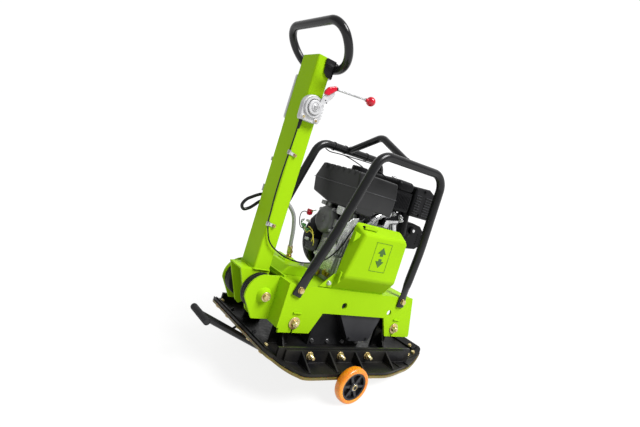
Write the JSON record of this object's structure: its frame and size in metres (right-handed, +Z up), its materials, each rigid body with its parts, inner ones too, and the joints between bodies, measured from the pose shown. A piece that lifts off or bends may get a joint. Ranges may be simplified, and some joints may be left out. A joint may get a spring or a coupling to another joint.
{
  "type": "reversible plate compactor",
  "caption": "Ride-behind reversible vibratory plate with a petrol engine, exciter, belt drive, roll cage, folding drawbar with ring handle, paving mat and a transport trolley.",
  "frame": {"origin": "centre of the bounding box, on the floor that the trolley wheels and the mat stand on", "axes": "+X forwards, +Y to the machine's left, +Z up; the machine stands pitched 12 degrees nose down on its trolley"},
  "size_m": [0.9652, 0.696, 1.1971],
  "materials": {
    "green_paint": "gloss",
    "base_paint": "gloss",
    "polyurethane": "satin",
    "zinc": "yellow zinc",
    "cast_housing": "painted",
    "black_paint": "satin",
    "steel": "ground",
    "grey_metal": "satin",
    "rubber": "matt",
    "engine_casting": "as cast",
    "engine_black": "satin",
    "muffler_black": "heat-resistant black",
    "tank_paint": "satin",
    "throttle_casting": "die cast",
    "red_plastic": "gloss",
    "holder_grey": "satin",
    "cable_black": "satin",
    "hose_braid": "braided",
    "wheel_tread": "satin"
  },
  "bodies": {
    "lower_mass": {"base_plate": "base_paint", "wing_right": "base_paint", "wing_left": "base_paint", "paving_mat": "polyurethane", "mat_clamp_rear": "zinc", "mat_clamp_front": "zinc", "exciter_housing": "cast_housing", "exciter_cover_right": "black_paint", "exciter_cover_left": "black_paint", "drive_bearing_right": "steel", "drive_bearing_left": "steel", "driven_bearing_right": "steel", "driven_bearing_left": "steel", "belt_guard_lower": "grey_metal", "v_belt": "rubber"},
    "drive_shaft": {"drive_eccentric_shaft": "steel", "drive_gear": "steel", "exciter_pulley": "grey_metal"},
    "driven_shaft": {"driven_eccentric_shaft": "steel", "driven_gear": "steel"},
    "upper_mass": {"frame_side_right": "green_paint", "frame_side_left": "green_paint", "engine_deck": "green_paint", "rubber_buffer_rear_right": "rubber", "rubber_buffer_rear_left": "rubber", "rubber_buffer_front_right": "rubber", "rubber_buffer_front_left": "rubber", "pivot_axle": "zinc", "pivot_rubber_right": "rubber", "pivot_rubber_left": "rubber", "belt_cover": "green_paint", "roll_hoop_right": "black_paint", "roll_hoop_left": "black_paint", "lifting_bar": "black_paint", "crankcase": "engine_casting", "cylinder_head": "engine_casting", "spark_plug_cap": "engine_black", "fan_housing": "engine_black", "recoil_cover": "engine_black", "fuel_tank": "tank_paint", "air_cleaner": "engine_black", "muffler": "muffler_black"},
    "crank": {"crankshaft": "steel", "clutch_drum": "grey_metal"},
    "cap": {"fuel_cap": "engine_black"},
    "recoil": {"recoil_handle": "engine_black"},
    "drawbar": {"drawbar_tube": "green_paint", "drawbar_bracket": "green_paint", "document_holder": "holder_grey", "handle_clamp": "black_paint", "throttle_body": "throttle_casting", "throttle_cable": "cable_black", "hydraulic_hose": "hose_braid", "hose_loop": "cable_black"},
    "throttle": {"throttle_lever": "throttle_casting", "throttle_knob": "red_plastic"},
    "handle": {"ring_handle": "black_paint"},
    "trolley": {"trolley_frame": "black_paint"},
    "near_wheel": {"wheel_right": "wheel_tread"},
    "far_wheel": {"wheel_left": "wheel_tread"}
  },
  "joints": [
    {"name": "buffer_travel", "type": "slide", "parent": "lower_mass", "child": "upper_mass", "axis": [0.2079, 0, 0.9781], "range_m": [-0.003, 0.003], "stiffness_N_per_m": 500000, "springref_m": 0.002},
    {"name": "drive_shaft_spin", "type": "hinge", "parent": "lower_mass", "child": "drive_shaft", "pos_m": [0.08281, 0, 0.15422], "axis": [0, 1, 0], "continuous": true},
    {"name": "driven_shaft_spin", "type": "hinge", "parent": "lower_mass", "child": "driven_shaft", "pos_m": [-0.015, 0, 0.17501], "axis": [0, 1, 0], "continuous": true},
    {"name": "crank_spin", "type": "hinge", "parent": "upper_mass", "child": "crank", "pos_m": [0.08515, 0, 0.42975], "axis": [0, 1, 0], "continuous": true},
    {"name": "drawbar_tilt", "type": "hinge", "parent": "upper_mass", "child": "drawbar", "pos_m": [-0.29878, 0, 0.30689], "axis": [0, -1, 0], "range_deg": [0, 75], "deforming": ["throttle_cable", "hydraulic_hose"]},
    {"name": "handle_tilt", "type": "hinge", "parent": "drawbar", "child": "handle", "pos_m": [-0.10214, 0, 1.04923], "axis": [0, -1, 0], "range_deg": [-20, 20]},
    {"name": "throttle_turn", "type": "hinge", "parent": "drawbar", "child": "throttle", "pos_m": [-0.18428, -0.08, 0.92254], "axis": [0, 1, 0], "range_deg": [-15, 60]},
    {"name": "recoil_pull", "type": "slide", "parent": "upper_mass", "child": "recoil", "axis": [0.0645, 0.9507, 0.3034], "range_m": [0, 0.4], "stiffness_N_per_m": 20, "springref_m": -0.4},
    {"name": "fuel_cap_turn", "type": "hinge", "parent": "upper_mass", "child": "cap", "pos_m": [0.10476, 0, 0.71439], "axis": [0.2079, 0, 0.9781], "range_deg": [0, 90]},
    {"name": "trolley_withdraw", "type": "slide", "parent": "lower_mass", "child": "trolley", "axis": [-0.9781, 0, 0.2079], "range_m": [0, 0.45]},
    {"name": "near_wheel_spin", "type": "hinge", "parent": "trolley", "child": "near_wheel", "pos_m": [-0.06959, -0.3285, 0.06249], "axis": [0, 1, 0], "continuous": true},
    {"name": "far_wheel_spin", "type": "hinge", "parent": "trolley", "child": "far_wheel", "pos_m": [-0.06959, 0.3285, 0.06249], "axis": [0, 1, 0], "continuous": true}
  ],
  "couplings": [
    {"joint": "driven_shaft_spin", "follows": "drive_shaft_spin", "ratio": -1},
    {"joint": "crank_spin", "follows": "drive_shaft_spin", "ratio": 1}
  ]
}
